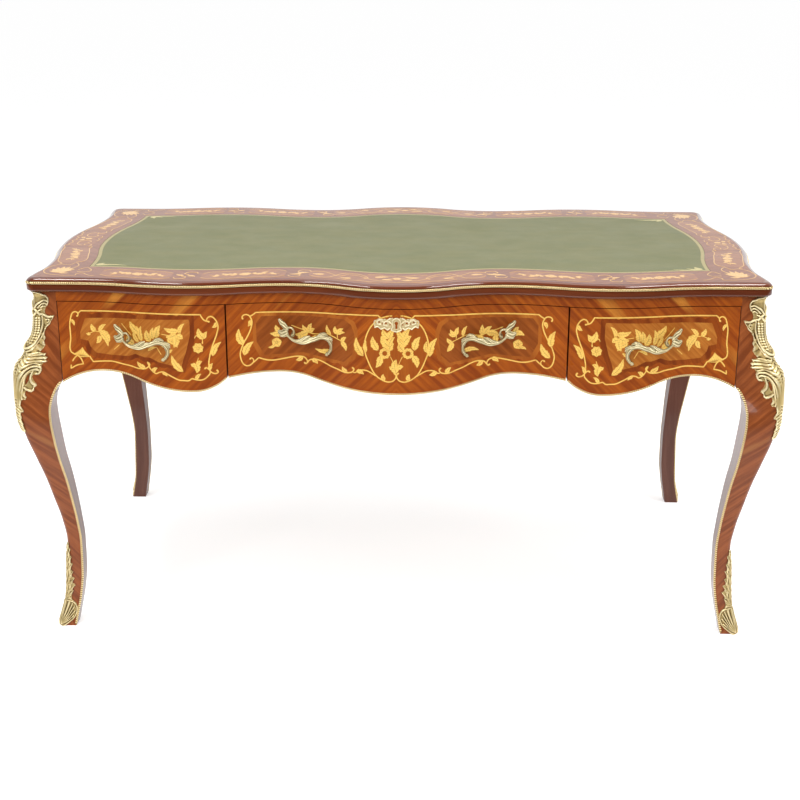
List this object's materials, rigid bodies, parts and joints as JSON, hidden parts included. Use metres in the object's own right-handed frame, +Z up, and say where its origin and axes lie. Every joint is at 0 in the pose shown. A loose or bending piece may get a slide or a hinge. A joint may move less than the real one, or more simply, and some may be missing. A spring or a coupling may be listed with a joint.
{
  "type": "writing desk",
  "caption": "Serpentine writing table with leather top, frieze drawers with scroll pulls, and cabriole legs with gilt corner and foot mounts.",
  "frame": {"origin": "on the floor, under the middle of the top", "axes": "+X to the right of someone sitting at the drawers, along the length of the top; -Y towards the sitter; +Z up"},
  "size_m": [1.5504, 0.9004, 0.772],
  "materials": {
    "kingwood_veneer": "polished veneer",
    "polished_mahogany": "polished",
    "carcass_wood": "plain",
    "green_leather": "satin",
    "gilt_brass": "antique gilt",
    "pull_metal": "pale antique gilt",
    "lock_brass": "satin",
    "steel": "plain"
  },
  "bodies": {
    "frame": {"top_panel": "polished_mahogany", "leather_writing_surface": "green_leather", "top_edge_bead": "gilt_brass", "front_left_leg": "kingwood_veneer", "front_right_leg": "kingwood_veneer", "back_left_leg": "kingwood_veneer", "back_right_leg": "kingwood_veneer", "corner_mounts": "gilt_brass", "sabots": "gilt_brass", "front_top_rail": "kingwood_veneer", "front_lower_rail": "carcass_wood", "back_top_rail": "kingwood_veneer", "back_lower_rail": "carcass_wood", "back_board": "carcass_wood", "back_left_dummy_front": "kingwood_veneer", "back_center_dummy_front": "kingwood_veneer", "back_right_dummy_front": "kingwood_veneer", "back_pulls": "pull_metal", "left_flank": "kingwood_veneer", "right_flank": "kingwood_veneer", "carcass_edge_strips": "gilt_brass", "left_partition": "carcass_wood", "right_partition": "carcass_wood", "left_drawer_runners": "carcass_wood", "center_drawer_runners": "carcass_wood", "right_drawer_runners": "carcass_wood", "drawer_kickers": "carcass_wood"},
    "left_drawer": {"left_drawer_front": "kingwood_veneer", "left_drawer_left_side": "carcass_wood", "left_drawer_right_side": "carcass_wood", "left_drawer_back": "carcass_wood", "left_drawer_bottom": "carcass_wood", "left_drawer_edge_strip": "gilt_brass", "left_drawer_pull": "pull_metal"},
    "center_drawer": {"center_drawer_front": "kingwood_veneer", "center_drawer_left_side": "carcass_wood", "center_drawer_right_side": "carcass_wood", "center_drawer_back": "carcass_wood", "center_drawer_bottom": "carcass_wood", "center_drawer_edge_strip": "gilt_brass", "center_drawer_left_pull": "pull_metal", "center_drawer_right_pull": "pull_metal", "escutcheon": "pull_metal", "lock_case": "lock_brass"},
    "right_drawer": {"right_drawer_front": "kingwood_veneer", "right_drawer_left_side": "carcass_wood", "right_drawer_right_side": "carcass_wood", "right_drawer_back": "carcass_wood", "right_drawer_bottom": "carcass_wood", "right_drawer_edge_strip": "gilt_brass", "right_drawer_pull": "pull_metal"},
    "lock_bolt": {"lock_bolt": "steel"}
  },
  "joints": [
    {"name": "left_drawer_slide", "type": "slide", "parent": "frame", "child": "left_drawer", "axis": [0, -1, 0], "range_m": [0, 0.38]},
    {"name": "center_drawer_slide", "type": "slide", "parent": "frame", "child": "center_drawer", "axis": [0, -1, 0], "range_m": [0, 0.38]},
    {"name": "right_drawer_slide", "type": "slide", "parent": "frame", "child": "right_drawer", "axis": [0, -1, 0], "range_m": [0, 0.38]},
    {"name": "lock_bolt_slide", "type": "slide", "parent": "center_drawer", "child": "lock_bolt", "axis": [0, 0, 1], "range_m": [0, 0.007]}
  ]
}
